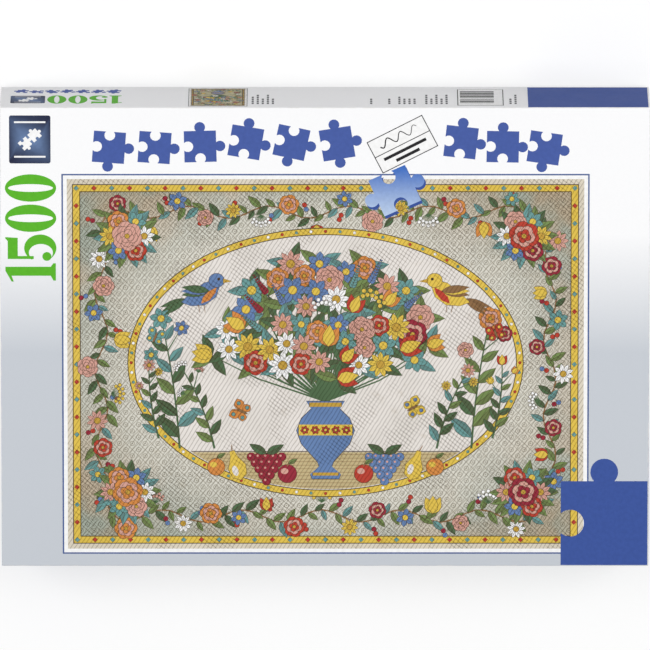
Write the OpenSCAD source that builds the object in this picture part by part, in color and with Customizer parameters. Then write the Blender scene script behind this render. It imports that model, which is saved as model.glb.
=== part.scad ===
// Boxed jigsaw puzzle: a telescoping set-up box of wrapped greyboard that
// holds the loose pieces of a jigsaw in a sealed film bag.
// Millimetres, +Z up through the printed face of the lid, +Y towards the top
// of the printed picture, origin at the middle of the box's underside.

/* [Box] */
// Outside length of the closed box, along X
box_length = 373; // [330:1:430]
// Outside width of the closed box, along Y
box_width = 272; // [240:1:320]
// Height of the closed box
box_height = 55; // [53:1:80]
// Height of the base that shows below the lid's rim
base_reveal = 4; // [1:0.5:12]
// Gap between the lid and the base, on each side
lid_clearance = 0.7; // [0.4:0.1:1.5]

/* [Board and paper] */
// Thickness of the greyboard
board_t = 1.5; // [1:0.1:2.2]
// Slit between two folded walls where they meet at a corner
corner_slit = 0.2; // [0.1:0.05:0.5]
// Thickness of the wrap paper
paper_t = 0.25; // [0.15:0.05:0.4]
// Depth to which a wrap is turned in over its rim
turn_in = 16; // [8:1:30]
// Thickness of the corner stay tape
stay_t = 0.2; // [0.1:0.05:0.4]
// Reach of the stay tape along each wall
stay_leg = 16; // [8:1:30]
// Distance from the stay tape to the fold below it and to the rim above it
stay_margin = 4; // [2:0.5:10]

/* [Bag] */
// Thickness of the bag's film
film_t = 0.3; // [0.2:0.05:0.6]
// Width of the seal across each end of the bag
seal_w = 10; // [6:1:14]
// Gap between an end seal and the base's end wall
seal_gap = 5; // [2:1:12]
// Gap between the bag and the base's long walls
side_gap = 10; // [6:1:16]
// Height of the bag at its edges
bag_edge_h = 31; // [24:1:36]
// Height by which the bag's middle stands above its edges
bag_crown = 10; // [6:1:12]

/* [Jigsaw pieces] */
// Size of a piece along the picture, without knobs
piece_length = 16; // [14:0.5:18]
// Size of a piece across the picture, without knobs
piece_width = 20; // [16:0.5:22]
// Thickness of the pieces
piece_t = 2; // [1.6:0.1:2.4]
// Radius of a knob
knob_r = 2.4; // [2:0.1:2.8]
// Distance of a knob's centre beyond the edge of its piece
knob_reach = 1.5; // [1.2:0.1:1.8]
// Room between a knob and the socket that takes it
cut_gap = 0.1; // [0.05:0.05:0.2]
// Least room between two neighbouring pieces of the heap
loose_gap = 0.4; // [0.2:0.1:1]
// Steepest angle at which a piece lies in the heap, in degrees
heap_tilt = 11; // [6:1:14]
// Number of edge pieces in the heap
edge_piece_count = 32; // [16:1:60]

/* [Hidden] */
$fn = 48;
CORNERS = [[-1, -1], [1, -1], [1, 1], [-1, 1]];
SHUFFLE = 7;
EDGE_WALK = [1, 3, 5];

// Lid: the board inside its wrap, open side down
lid_board_l = box_length - 2 * paper_t;
lid_board_w = box_width - 2 * paper_t;
lid_board_h = box_height - base_reveal - 2 * paper_t;
lid_top_z = box_height - paper_t;

// Base: slides into the lid's turned-in lining and carries its top panel
lid_wall = board_t + 2 * paper_t;
base_l = box_length - 2 * lid_wall - 2 * lid_clearance;
base_w = box_width - 2 * lid_wall - 2 * lid_clearance;
base_rim_z = lid_top_z - board_t;
base_board_l = base_l - 2 * paper_t;
base_board_w = base_w - 2 * paper_t;
base_board_h = base_rim_z - 2 * paper_t;

// Bag: lies on the floor of the base
floor_z = paper_t + board_t;
bag_l = base_board_l - 2 * board_t - 2 * (seal_gap + seal_w);
bag_w = base_board_w - 2 * board_t - 2 * side_gap;
heap_z = floor_z + film_t;

// Pieces: layers of cells that fill the bag, each with room for one piece turned any way round.
// The lowest layer lies flat on the film, and those above it are tilted. Every other layer is
// set over by half a cell, so it has one column and one row less.
piece_reach = max(norm([piece_length, piece_width]) / 2,
                  max(piece_length, piece_width) / 2 + knob_reach + knob_r);
least_cell = 2 * piece_reach + piece_t * sin(heap_tilt) + loose_gap;
cell_columns = floor((bag_l - 2 * film_t) / least_cell);
cell_rows = floor((bag_w - 2 * film_t) / least_cell);
cell_l = (bag_l - 2 * film_t) / cell_columns;
cell_w = (bag_w - 2 * film_t) / cell_rows;
cell_h = 2 * piece_reach * sin(heap_tilt) + piece_t * cos(heap_tilt) + loose_gap;
flat_h = piece_t + loose_gap;
cell_layers = 1 + floor((bag_edge_h + bag_crown - 2 * film_t - flat_h) / cell_h);

// Boards and wraps

module block(l, w, z0, z1) {
    translate([-l / 2, -w / 2, z0]) cube([l, w, z1 - z0]);
}

// Rectangular ring with outside l by w and walls t thick
module ring(l, w, t, z0, z1) {
    difference() {
        block(l, w, z0, z1);
        block(l - 2 * t, w - 2 * t, z0 - t, z1 + t);
    }
}

// One corner's L of stay tape, flush with the outside of a board l by w by h
module stay(l, w, h, corner) {
    intersection() {
        ring(l, w, stay_t, board_t + stay_margin, h - stay_margin);
        translate([corner[0] * l / 2, corner[1] * w / 2, 0])
            block(2 * stay_leg, 2 * stay_leg, 0, h);
    }
}

// Scored blank folded up into a tray, open side up, standing on z = 0.
// The end walls stand between the long walls, and the stay tape is pressed
// into the outside of each corner.
module folded_board(l, w, h) {
    end_wall = w - 2 * board_t - 2 * corner_slit;
    difference() {
        union() {
            block(l, w, 0, board_t);
            for (side = [-1, 1]) {
                translate([0, side * (w - board_t) / 2, 0]) block(l, board_t, 0, h);
                translate([side * (l - board_t) / 2, 0, 0]) block(board_t, end_wall, 0, h);
            }
        }
        for (corner = CORNERS) stay(l, w, h, corner);
    }
}

// Paper round the walls of a tray, over its rim and down inside
module turned_in_strip(l, w, h) {
    ring(l + 2 * paper_t, w + 2 * paper_t, paper_t, 0, h + paper_t);
    ring(l, w, board_t, h, h + paper_t);
    ring(l - 2 * board_t, w - 2 * board_t, paper_t, h - turn_in, h + paper_t);
}

// Places a tray's parts as the base, or turned over as the lid
module as_base() {
    translate([0, 0, paper_t]) children();
}
module as_lid() {
    translate([0, 0, lid_top_z]) rotate([180, 0, 0]) children();
}

module base_bottom_sheet() {
    color("#c3cad2") block(base_l, base_w, 0, paper_t);
}
module base_board() {
    color("#a79f92") as_base() folded_board(base_board_l, base_board_w, base_board_h);
}
module base_wrap() {
    color("#c3cad2") as_base() turned_in_strip(base_board_l, base_board_w, base_board_h);
}
module base_corner_stay(number) {
    color("#d9c7a3") as_base() stay(base_board_l, base_board_w, base_board_h, CORNERS[number - 1]);
}
module lid_board() {
    color("#a79f92") as_lid() folded_board(lid_board_l, lid_board_w, lid_board_h);
}
module lid_wrap() {
    color("#f2f3f6") as_lid() {
        turned_in_strip(lid_board_l, lid_board_w, lid_board_h);
        block(box_length, box_width, -paper_t, 0);
    }
}
module lid_corner_stay(number) {
    color("#d9c7a3") as_lid() stay(lid_board_l, lid_board_w, lid_board_h, CORNERS[number - 1]);
}

// Bag

// Radius of the arc that rises by the crown over a chord
function crown_r(chord) = (pow(chord / 2, 2) + pow(bag_crown, 2)) / (2 * bag_crown);
// Height of the bag's top above its edge, at a distance from its middle
function crown_z(chord, off) =
    sqrt(pow(crown_r(chord), 2) - pow(off, 2)) - crown_r(chord) + bag_crown;
// Height of the bag's outside above the floor of the base
function bag_top(x, y) = bag_edge_h + min(crown_z(bag_l, x), crown_z(bag_w, y));

// Side view of the bag with its outside moved in by inset
module bag_profile(chord, inset) {
    intersection() {
        translate([-chord / 2 + inset, inset])
            square([chord - 2 * inset, bag_edge_h + bag_crown]);
        translate([0, bag_edge_h + bag_crown - crown_r(chord)])
            circle(r = crown_r(chord) - inset, $fn = 256);
    }
}

// Bag shape, crowned along both of its directions
module bag_body(inset) {
    intersection() {
        rotate([90, 0, 0]) linear_extrude(bag_w - 2 * inset, center = true)
            bag_profile(bag_l, inset);
        rotate([90, 0, 90]) linear_extrude(bag_l - 2 * inset, center = true)
            bag_profile(bag_w, inset);
    }
}

module bag_film() {
    color("#dfe8ee", 0.4) translate([0, 0, floor_z]) {
        difference() {
            bag_body(0);
            bag_body(film_t);
        }
        for (end = [-1, 1])
            translate([end * (bag_l + seal_w) / 2, 0, 0])
                block(seal_w, bag_w, bag_edge_h / 2 - film_t, bag_edge_h / 2 + film_t);
    }
}

// Jigsaw pieces

function columns_in(layer) = cell_columns - layer % 2;
function rows_in(layer) = cell_rows - layer % 2;

// Middle of a cell, above the bag's film. A cell is its column, row and layer.
function cell_middle(place) = [
    (place[0] - (columns_in(place[2]) - 1) / 2) * cell_l,
    (place[1] - (rows_in(place[2]) - 1) / 2) * cell_w,
    place[2] == 0 ? piece_t / 2 : flat_h + (place[2] - 0.5) * cell_h
];

// True if a piece anywhere in the cell stays under the film
function is_inside(middle) =
    middle[2] + cell_h / 2 + 2 * film_t
    <= bag_top(abs(middle[0]) + least_cell / 2, abs(middle[1]) + least_cell / 2);

// The cells that hold a piece, from the floor up
CELLS = [
    for (layer = [0 : cell_layers - 1])
        for (row = [0 : rows_in(layer) - 1])
            for (column = [0 : columns_in(layer) - 1])
                let (place = [column, row, layer])
                if (is_inside(cell_middle(place))) place
];
held = len(CELLS);
TURNS = rands(0, 360, held, SHUFFLE);
TILTS = rands(-heap_tilt, heap_tilt, held, SHUFFLE + 1);
SIDES = rands(0, 16, held, SHUFFLE + 2);
edge_step = floor(held / edge_piece_count);

// The corner pieces lie in the corners of the lowest layer, and edge pieces are spread through the heap
last_in_row = cell_columns - 1;
last_row_start = cell_columns * (cell_rows - 1);
CORNER_CELLS = [0, last_in_row, last_row_start + last_in_row, last_row_start];
function is_corner(number) = len(search(number, CORNER_CELLS)) > 0;
function is_edge(number) = !is_corner(number) && (CELLS[number] * EDGE_WALK) % edge_step == 0;
function is_inner(number) = !is_corner(number) && !is_edge(number);

// Sides of a piece from +X round to -Y: 1 has a knob, -1 a socket and 0 is straight
function drawn_side(number, side) = floor(SIDES[number] / pow(2, side)) % 2 == 0 ? 1 : -1;
function piece_side(number, side) =
    is_corner(number) && side < 2 ? 0
    : is_edge(number) && side == 1 ? 0
    : drawn_side(number, side);

// Middle of a side moved outwards by reach
function side_middle(side, reach) =
    let (half = side % 2 == 0 ? piece_length / 2 : piece_width / 2)
    (half + reach) * [cos(90 * side), sin(90 * side)];

module piece_outline(number) {
    difference() {
        union() {
            square([piece_length, piece_width], center = true);
            for (side = [0 : 3])
                if (piece_side(number, side) == 1)
                    translate(side_middle(side, knob_reach)) circle(knob_r);
        }
        for (side = [0 : 3])
            if (piece_side(number, side) == -1)
                translate(side_middle(side, -knob_reach)) circle(knob_r + cut_gap);
    }
}

// One piece lying in the middle of its cell
module piece(number) {
    tilt = CELLS[number][2] == 0 ? 0 : TILTS[number];
    translate([0, 0, heap_z])
        translate(cell_middle(CELLS[number]))
        rotate([tilt, 0, TURNS[number]])
        linear_extrude(piece_t, center = true) piece_outline(number);
}

module corner_piece(number) {
    color("#8a9a5b") piece(CORNER_CELLS[number - 1]);
}
module edge_pieces() {
    color("#d8b548") for (number = [0 : held - 1]) if (is_edge(number)) piece(number);
}
// One third of the heap's inner pieces, counted from the floor up
module inner_pieces(third) {
    first = floor(held * third / 3);
    last = floor(held * (third + 1) / 3) - 1;
    color("#d9d2bd") for (number = [first : last]) if (is_inner(number)) piece(number);
}

base_bottom_sheet();
base_board();
base_wrap();
for (number = [1 : 4]) {
    base_corner_stay(number);
    lid_corner_stay(number);
    corner_piece(number);
}
lid_board();
lid_wrap();
bag_film();
edge_pieces();
inner_pieces(0);  // inner_pieces_lower
inner_pieces(1);  // inner_pieces_middle
inner_pieces(2);  // inner_pieces_upper
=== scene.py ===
# Looks of the boxed jigsaw puzzle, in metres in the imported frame's own axes:
# +Z up through the lid's printed face, +Y towards the top of the printed picture.
import math
import random

import bmesh
import bpy
import numpy as np
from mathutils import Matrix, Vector, geometry, noise


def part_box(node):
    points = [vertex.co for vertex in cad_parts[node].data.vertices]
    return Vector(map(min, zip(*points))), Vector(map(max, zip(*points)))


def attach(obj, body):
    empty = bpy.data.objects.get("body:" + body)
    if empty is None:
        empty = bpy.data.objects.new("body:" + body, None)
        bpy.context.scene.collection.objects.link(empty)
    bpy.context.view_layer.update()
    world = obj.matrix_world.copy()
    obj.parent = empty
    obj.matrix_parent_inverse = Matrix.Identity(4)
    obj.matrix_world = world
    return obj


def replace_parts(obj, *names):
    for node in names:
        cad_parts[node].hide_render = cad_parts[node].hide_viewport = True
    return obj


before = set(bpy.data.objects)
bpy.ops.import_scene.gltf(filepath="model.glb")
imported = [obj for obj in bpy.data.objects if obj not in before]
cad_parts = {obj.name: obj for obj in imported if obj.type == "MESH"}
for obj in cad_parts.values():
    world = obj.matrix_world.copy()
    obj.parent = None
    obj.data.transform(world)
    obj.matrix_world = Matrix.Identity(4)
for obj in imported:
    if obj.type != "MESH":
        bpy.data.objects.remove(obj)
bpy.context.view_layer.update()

MM = 0.001

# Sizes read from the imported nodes
LID_LOW, LID_HIGH = (Vector(corner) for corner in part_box("lid_wrap"))
_, BASE_HIGH = (Vector(corner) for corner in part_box("base_wrap"))
_, BOARD_HIGH = (Vector(corner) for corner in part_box("lid_board"))
BAG_LOW, BAG_HIGH = (Vector(corner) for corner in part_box("bag_film"))
LID_TOP = LID_HIGH.z
PAPER = LID_HIGH.z - BOARD_HIGH.z

# Paper and print, in metres
BOARD = 1.5 * MM
TURN_IN = 16 * MM
INK_DEPTH = 0.06 * MM
FOLD_R = 0.5 * MM
RIM_R = 0.35 * MM
GRADIENT_FROM_Y = 0.061
GRADIENT_TO_Y = -0.009
NET_PITCH = 7.4 * MM
PAPER_GLOSS = 0.06
INK = "ink"
EXPORT_MAP = "OFBake"

# Bag and pieces, in metres
BAG_SEAL = 10 * MM
BAG_HALF = Vector((BAG_HIGH.x - BAG_SEAL, BAG_HIGH.y))
BAG_EDGE_H = 31 * MM
BAG_SOFT = 8 * MM
BAG_CORNER_R = 16 * MM
SEAL_T = 0.3 * MM
PIECE_LENGTH = 16 * MM
PIECE_WIDTH = 20 * MM
PIECE_T = 2 * MM
PIECE_KNOB_R = 2.4 * MM
PIECE_KNOB_REACH = 1.5 * MM
PIECE_RIM = 0.28 * MM
KNOB_SPARE = 2.9 * MM
PRINT_UP_SHARE = 0.6
FILL_TRIES = 40000
FILL_MOST = 1130

# Places on the lid's face, in millimetres from its middle
PICTURE_MIDDLE = (0.3, -15.9)
PICTURE_SIZE = (297.0, 219.4)
MAT_W = 2.2
FRAME_LINE_W = 0.85
NUMBER_FOOT = (-154.3, 33.2)
NUMBER_H = 29.4
BADGE_MIDDLE = (-169.3, 117.2)
BADGE_SIZE = (23.7, 28.3)
TITLE_ROWS = ((-137.0, 20.0, 6), (66.0, 138.0, 3))
TITLE_Y = 114.2
TITLE_PIECE = 18.4
TAG_MIDDLE = (44.4, 114.4)
TAG_SIZE = (35.7, 20.6)
TAG_TURN = 0.476
LOOSE_MIDDLE = (40.0, 87.0)

# Places on the lid's walls, in millimetres
LONG_WALL = 300.0
END_BLOCK_W = 70.0
THUMBNAIL_SIZE = (31.5, 42.0)
THUMBNAIL_FROM_END = 125.0
THUMBNAIL_Z = 29.5

# Camera, set so that the face fills the photograph's frame
CAMERA_DISTANCE = 10.0
CAMERA_ELEVATION = 14.2
FRAME_WIDTH = 0.3748
AIM = (0.0, 0.0005, 0.0275)

# Light: a softbox at each side, and the level of the room
SOFTBOX_AT = (1.6, 0.4, 1.7)
SOFTBOX_SIZE = 1.6
SOFTBOX_POWER = 29.0
ROOM_LEVEL = 0.345


def srgb(red, green, blue, alpha=1.0):
    """Linear colour of an sRGB colour given from 0 to 255."""
    def linear(level):
        level /= 255
        return level / 12.92 if level <= 0.04045 else ((level + 0.055) / 1.055) ** 2.4
    return (linear(red), linear(green), linear(blue), alpha)


def blend(first, second, share):
    """A colour between two others."""
    return tuple(a + (b - a) * share for a, b in zip(first, second))


PURE_WHITE = (1.0, 1.0, 1.0, 1.0)
WHITE = srgb(250, 250, 250)
FACE_WHITE = srgb(249, 249, 250)
FACE_GREY = srgb(199, 204, 211)
GREEN_INK = srgb(94, 182, 48)
BLUE_INK = srgb(75, 96, 165)
BLOCK_BLUE = srgb(64, 88, 158)
FRAME_BLUE = srgb(80, 100, 150)
NAVY = srgb(34, 32, 54)
SLATE = srgb(108, 132, 172)
BAR_BLACK = srgb(42, 42, 44)
DASH_GREY = srgb(92, 92, 96)
LOOSE_DEEP, LOOSE_PALE, LOOSE_SHADE = srgb(66, 112, 194), srgb(188, 208, 236), srgb(62, 86, 156)

# Colours of the plates; an alpha of 0 marks the ground outside the oval
PLATE_PAPER = srgb(221, 212, 194)
PLATE_FIELD = srgb(222, 219, 208, 0.0)
PLATE_INSIDE = srgb(232, 226, 220)
SMALL_FIELD = srgb(190, 182, 148)
TABLE = srgb(198, 180, 136)
ETCH = srgb(78, 64, 50)
YELLOW = srgb(226, 194, 84)
GOLD = srgb(198, 160, 70)
LEAF_GREEN = srgb(120, 142, 86)
DARK_GREEN = srgb(84, 110, 78)
TEAL = srgb(110, 158, 156)
SKY_BLUE = srgb(104, 132, 178)
RED = srgb(188, 70, 56)
CRIMSON = srgb(152, 50, 64)
ORANGE = srgb(214, 140, 74)
ROSE = srgb(216, 164, 150)
BROWN = srgb(142, 108, 74)
LEAF_TINTS = (LEAF_GREEN, DARK_GREEN, TEAL)


# Shader graphs

def set_socket(tree, socket, value):
    if isinstance(value, Value):
        tree.links.new(value.socket, socket)
    else:
        socket.default_value = value


def add_node(tree, kind, sockets=None, **settings):
    node = tree.nodes.new("ShaderNode" + kind)
    for key, value in settings.items():
        setattr(node, key, value)
    for key, value in (sockets or {}).items():
        set_socket(tree, node.inputs[key], value)
    return node


class Value:
    """An output of a shader's nodes, for sums with other outputs and with plain numbers."""

    def __init__(self, tree, socket):
        self.tree = tree
        self.socket = socket

    def node(self, kind, output, sockets=None, **settings):
        made = add_node(self.tree, kind, sockets, **settings)
        return Value(self.tree, made.outputs[output])

    def calc(self, operation, other=0.0):
        return self.node("Math", 0, {0: self, 1: other}, operation=operation)

    def __add__(self, other):
        return self.calc("ADD", other)

    def __sub__(self, other):
        return self.calc("SUBTRACT", other)

    def __rsub__(self, other):
        return self.node("Math", 0, {0: other, 1: self}, operation="SUBTRACT")

    def __mul__(self, other):
        return self.calc("MULTIPLY", other)

    def __abs__(self):
        return self.calc("ABSOLUTE")

    def least(self, other):
        return self.calc("MINIMUM", other)

    def most(self, other):
        return self.calc("MAXIMUM", other)

    def ramp(self, low, high, smooth=True):
        """0 where this is at low, 1 where it is at high."""
        kind = "SMOOTHSTEP" if smooth else "LINEAR"
        sockets = {"Value": self, "From Min": low, "From Max": high}
        return self.node("MapRange", 0, sockets, interpolation_type=kind)

    def between(self, low, high):
        """This value's range of 0 to 1 spread from low to high."""
        return self.node("MapRange", 0, {"Value": self, "To Min": low, "To Max": high})

    def mix(self, first, second, how="MIX"):
        """The first colour where this is 0, with the second over it where this is 1."""
        sockets = {0: self, 6: first, 7: second}
        return self.node("Mix", 2, sockets, data_type="RGBA", blend_type=how)

    def speckle(self, scale, detail=3.0, roughness=0.55):
        """Noise at these coordinates."""
        sockets = {"Vector": self, "Scale": scale, "Detail": detail, "Roughness": roughness}
        return self.node("TexNoise", "Fac", sockets)

    def mapped(self, **sockets):
        """These coordinates scaled or shifted."""
        return self.node("Mapping", 0, {"Vector": self, **sockets})

    def axes(self):
        made = add_node(self.tree, "SeparateXYZ", {"Vector": self})
        return [Value(self.tree, socket) for socket in made.outputs]

    def into(self, node, name):
        self.tree.links.new(self.socket, node.inputs[name])


def new_material(name, roughness=0.5, specular=0.5):
    """Returns a material, its shader and the frame's coordinates in it."""
    material = bpy.data.materials.new(name)
    material.use_nodes = True
    tree = material.node_tree
    shader = tree.nodes["Principled BSDF"]
    shader.inputs["Roughness"].default_value = roughness
    shader.inputs["Specular IOR Level"].default_value = specular
    return material, shader, Value(tree, add_node(tree, "TexCoord").outputs["Object"])


def surface(shader, colour, height, strength, distance):
    """Gives a shader its colour and the relief of its surface."""
    colour.into(shader, "Base Color")
    sockets = {"Height": height, "Strength": strength, "Distance": distance}
    height.node("Bump", "Normal", sockets).into(shader, "Normal")


def paper_finish(shader, colour, place, low=0.46, high=0.62):
    """Laminated paper: a fine tooth, broad waves and uneven gloss."""
    tooth = place.speckle(2600.0, 2.0)
    waves = place.speckle(14.0, 1.0)
    surface(shader, colour, tooth * 0.12 + waves, 0.10, 0.0012)
    place.speckle(60.0, 4.0).between(low, high).into(shader, "Roughness")


def stain(place, colour, noise_at, span, tint, share=1.0, how="MIX"):
    """A colour with another over it in patches of noise; span is where they start and are full."""
    return (place.speckle(*noise_at).ramp(*span) * share).mix(colour, tint, how)


def edge_distance(x, y, z):
    """Distance from the nearest outer edge of the lid."""
    from_x = LID_HIGH.x - abs(x)
    from_y = LID_HIGH.y - abs(y)
    from_top = LID_TOP - z
    return from_x.least(from_y).most(from_x.most(from_y).least(from_top))


def seam_lines(x, y):
    """1 along the folded paper's edge near each corner of the two short walls, else 0."""
    seam_at, seam_w = 2.4 * MM, 0.16 * MM
    on_short_wall = abs(x).ramp(LID_HIGH.x - 0.4 * MM, LID_HIGH.x - 0.2 * MM)
    from_seam = (LID_HIGH.y - seam_at) - abs(y)
    return abs(from_seam).ramp(seam_w, 0.3 * seam_w) * on_short_wall


def lid_paper_material():
    material, shader, place = new_material("lid_paper", specular=PAPER_GLOSS)
    x, y, z = place.axes()
    colour = y.ramp(GRADIENT_FROM_Y, GRADIENT_TO_Y, False).mix(FACE_WHITE, FACE_GREY)
    # Rubbed edges show paler fibre
    rub = edge_distance(x, y, z).ramp(0.9 * MM, 0.2 * MM) * place.speckle(180.0).ramp(0.42, 0.66)
    colour = (rub * 0.45).mix(colour, srgb(232, 229, 222))
    colour = stain(place, colour, (900.0,), (0.2, 0.8), srgb(150, 155, 168), 0.025)
    colour = (seam_lines(x, y) * 0.35).mix(colour, srgb(120, 124, 132))
    paper_finish(shader, colour, place)
    return material


def ink_material(name, grain):
    """Printed ink whose colours are stored on the mesh, with grain as its unevenness."""
    material, shader, place = new_material(name, specular=PAPER_GLOSS)
    ink = place.node("Attribute", "Color", attribute_name=INK)
    colour = stain(place, ink, (420.0, 4.0), (0.3, 0.7), srgb(120, 112, 100), grain, "MULTIPLY")
    paper_finish(shader, colour, place, 0.44, 0.60)
    return material


def diaper_ground(place, pitch):
    """Engraved ground: a net of diagonal lines with a ring and a dot in each mesh."""
    x, y, _ = place.axes()
    u, v = (along.calc("DIVIDE", pitch).calc("FRACT") - 0.5 for along in (x + y, x - y))
    net = abs(u).most(abs(v)).ramp(0.44, 0.49)
    away = (u * u + v * v).calc("SQRT")
    ring = abs(away - 0.24).ramp(0.06, 0.02)
    return net.most(ring.most(away.ramp(0.11, 0.06)))


def hatching(place, turn):
    """Fine engraved lines that run at an angle."""
    turned = place.node("VectorRotate", 0, {"Vector": place, "Angle": turn}, rotation_type="Z_AXIS")
    sockets = {"Vector": turned, "Scale": 150.0, "Distortion": 1.6, "Detail": 2.0, "Detail Scale": 1.2}
    wave = place.node("TexWave", "Fac", sockets, wave_type="BANDS", bands_direction="X")
    return wave.ramp(0.72, 0.98)


def from_picture_middle(place):
    """Distance from the picture's middle, as a share of its half length and half width."""
    scale = [2 / (size * MM) for size in PICTURE_SIZE] + [0.0]
    shift = [-middle * MM * by for middle, by in zip(PICTURE_MIDDLE, scale)] + [0.0]
    spread = place.mapped(Scale=scale, Location=shift)
    return place.node("VectorMath", "Value", {0: spread}, operation="LENGTH")


def plate_material():
    """The printed picture: aged paper with a wash of uneven tint and fine engraved lines."""
    material, shader, place = new_material("picture_ink", specular=PAPER_GLOSS)
    ink, inside = (place.node("Attribute", output, attribute_name=INK) for output in ("Color", "Alpha"))
    colour = stain(place, ink, (36.0, 5.0, 0.6), (0.35, 0.7), srgb(212, 212, 206), 0.25, "MULTIPLY")
    foxing = srgb(176, 152, 108)
    colour = stain(place, colour, (150.0, 5.0, 0.65), (0.56, 0.74), foxing, 0.2, "MULTIPLY")
    cross_hatched = place.speckle(48.0).ramp(0.45, 0.62)
    hatch = hatching(place, 0.55) + hatching(place, -0.9) * cross_hatched
    colour = (hatch * 0.42).mix(colour, srgb(122, 114, 106), "MULTIPLY")
    ground = 1.0 - inside
    net = diaper_ground(place, NET_PITCH) * ground
    colour = (net * 0.62).mix(colour, srgb(140, 128, 104), "MULTIPLY")
    # Hand tinting deepens the ground towards the corners
    tint = stain(place, srgb(190, 160, 116), (20.0,), (0.4, 0.6), srgb(146, 172, 164))
    deep = from_picture_middle(place).ramp(0.7, 1.25) * ground * 0.66
    paper_finish(shader, deep.mix(colour, tint, "MULTIPLY"), place, 0.42, 0.58)
    return material


def base_paper_material():
    material, shader, place = new_material("base_paper", specular=0.3)
    colour = stain(place, srgb(206, 211, 218), (700.0, 4.0), (0.3, 0.7), srgb(198, 204, 213), 0.5)
    colour = stain(place, colour, (45.0, 6.0, 0.7), (0.60, 0.78), srgb(176, 180, 186), 0.25)
    paper_finish(shader, colour, place, 0.40, 0.56)
    return material


def greyboard_material():
    """Recycled board: grey-brown with dark and pale fibres."""
    material, shader, place = new_material("greyboard", 0.85, 0.2)
    colour = stain(place, srgb(178, 172, 161), (70.0, 4.0), (0.3, 0.7), srgb(192, 186, 175))
    fibres = place.mapped(Scale=(0.3, 1.0, 1.0))
    colour = stain(fibres, colour, (1300.0, 3.0, 0.7), (0.60, 0.70), srgb(122, 115, 107), 0.5)
    colour = stain(fibres, colour, (1750.0, 3.0, 0.7), (0.62, 0.72), srgb(214, 208, 198), 0.5)
    surface(shader, colour, fibres.speckle(1500.0, 4.0), 0.35, 0.0003)
    return material


def stay_tape_material():
    """Kraft tape with fine ribs across it."""
    material, shader, place = new_material("stay_tape", 0.7, 0.25)
    colour = stain(place, srgb(200, 176, 136), (240.0, 4.0), (0.3, 0.7), srgb(212, 190, 152))
    ribs = place.node("TexWave", "Fac", {"Vector": place, "Scale": 900.0}, bands_direction="Z")
    surface(shader, (ribs * 0.15).mix(colour, srgb(160, 134, 98)), ribs, 0.3, 0.0002)
    return material


def film_material():
    """Clear bag film, more opaque and whitish along its creases: partly the film's own whitened folds,
    partly painted highlight streaks along them.
    """
    material, shader, place = new_material("bag_film", 0.12, 0.7)
    stretched = place.mapped(Scale=(0.6, 1.0, 1.0))
    crease_glint_parts = []
    for scale, width, share in ((30.0, 0.022, 1.0), (80.0, 0.035, 0.6)):
        sockets = {"Vector": stretched, "Scale": scale}
        cells = place.node("TexVoronoi", "Distance", sockets, feature="DISTANCE_TO_EDGE")
        some = place.speckle(0.6 * scale, 2.0).ramp(0.42, 0.62)
        crease_glint_parts.append(cells.ramp(width, 0.0) * some * share)
    # Crease lines: partly the film's whitened folds, partly painted highlight streaks that stand in for
    # glints of the lamps along the folds
    crease_and_glint = crease_glint_parts[0].most(crease_glint_parts[1])
    haze = place.speckle(90.0, 4.0).ramp(0.35, 0.7)
    crease_and_glint.between(0.12, 0.34).into(shader, "Alpha")
    haze.between(0.08, 0.22).into(shader, "Roughness")
    surface(shader, haze.mix(srgb(226, 232, 238), srgb(246, 249, 252)), crease_and_glint, 0.35, 0.0006)
    return material


def piece_print_material():
    """Printed side of a piece: scraps of the picture's washes, lines and paper."""
    material, shader, place = new_material("piece_print", 0.4, 0.35)
    colour = stain(place, PLATE_FIELD, (60.0,), (0.42, 0.58), PLATE_PAPER)
    washes = ((95.0, YELLOW, 0.56), (80.0, LEAF_GREEN, 0.58), (110.0, RED, 0.66),
              (70.0, SKY_BLUE, 0.64), (130.0, TEAL, 0.64))
    for number, (scale, tint, level) in enumerate(washes):
        shifted = place.mapped(Location=(number * 0.31, 0.17, 0.0))
        colour = stain(shifted, colour, (scale, 2.0), (level, level + 0.03), tint, 0.85)
    sockets = {"Vector": place, "Scale": 120.0, "Distortion": 9.0, "Detail": 3.0}
    lines = place.node("TexWave", "Fac", sockets).ramp(0.84, 0.96)
    surface(shader, (lines * 0.6).mix(colour, ETCH), place.speckle(2400.0, 2.0), 0.15, 0.0002)
    return material


def piece_back_material():
    """Grey-blue back of a piece, and its cut edge."""
    material, shader, place = new_material("piece_back", 0.8, 0.25)
    colour = stain(place, srgb(138, 152, 168), (500.0, 4.0), (0.3, 0.7), srgb(152, 165, 180))
    colour = stain(place, colour, (1900.0, 3.0, 0.7), (0.60, 0.72), srgb(188, 196, 206), 0.5)
    surface(shader, colour, place.speckle(1700.0), 0.25, 0.0002)
    return material


def seen_rays(tree):
    """1 for rays that show a thing itself, by gloss or through the film as well, else 0."""
    rays = add_node(tree, "LightPath").outputs
    kinds = ("Is Camera Ray", "Is Glossy Ray", "Is Transmission Ray")
    camera_ray, gloss, film = (Value(tree, rays[kind]) for kind in kinds)
    return camera_ray.most(gloss).most(film)


def stage_material():
    """Pale floor: white to the camera, a little darker in the light that it throws back."""
    material, shader, place = new_material("stage_white", 0.9, 0.1)
    tree = material.node_tree
    shows = seen_rays(tree)
    shows.mix((0.72, 0.72, 0.73, 1.0), PURE_WHITE).into(shader, "Base Color")
    glow = place.node("Emission", 0, {"Color": PURE_WHITE, "Strength": 1.0})
    sockets = {0: shows * 0.55, 1: Value(tree, shader.outputs[0]), 2: glow}
    place.node("MixShader", 0, sockets).into(tree.nodes["Material Output"], "Surface")
    return material


# Meshes

def make_object(name, mesh, materials, body=None):
    for material in materials:
        mesh.materials.append(material)
    made = bpy.data.objects.new(name, mesh)
    bpy.context.scene.collection.objects.link(made)
    if body:
        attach(made, body)
    return made


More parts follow.
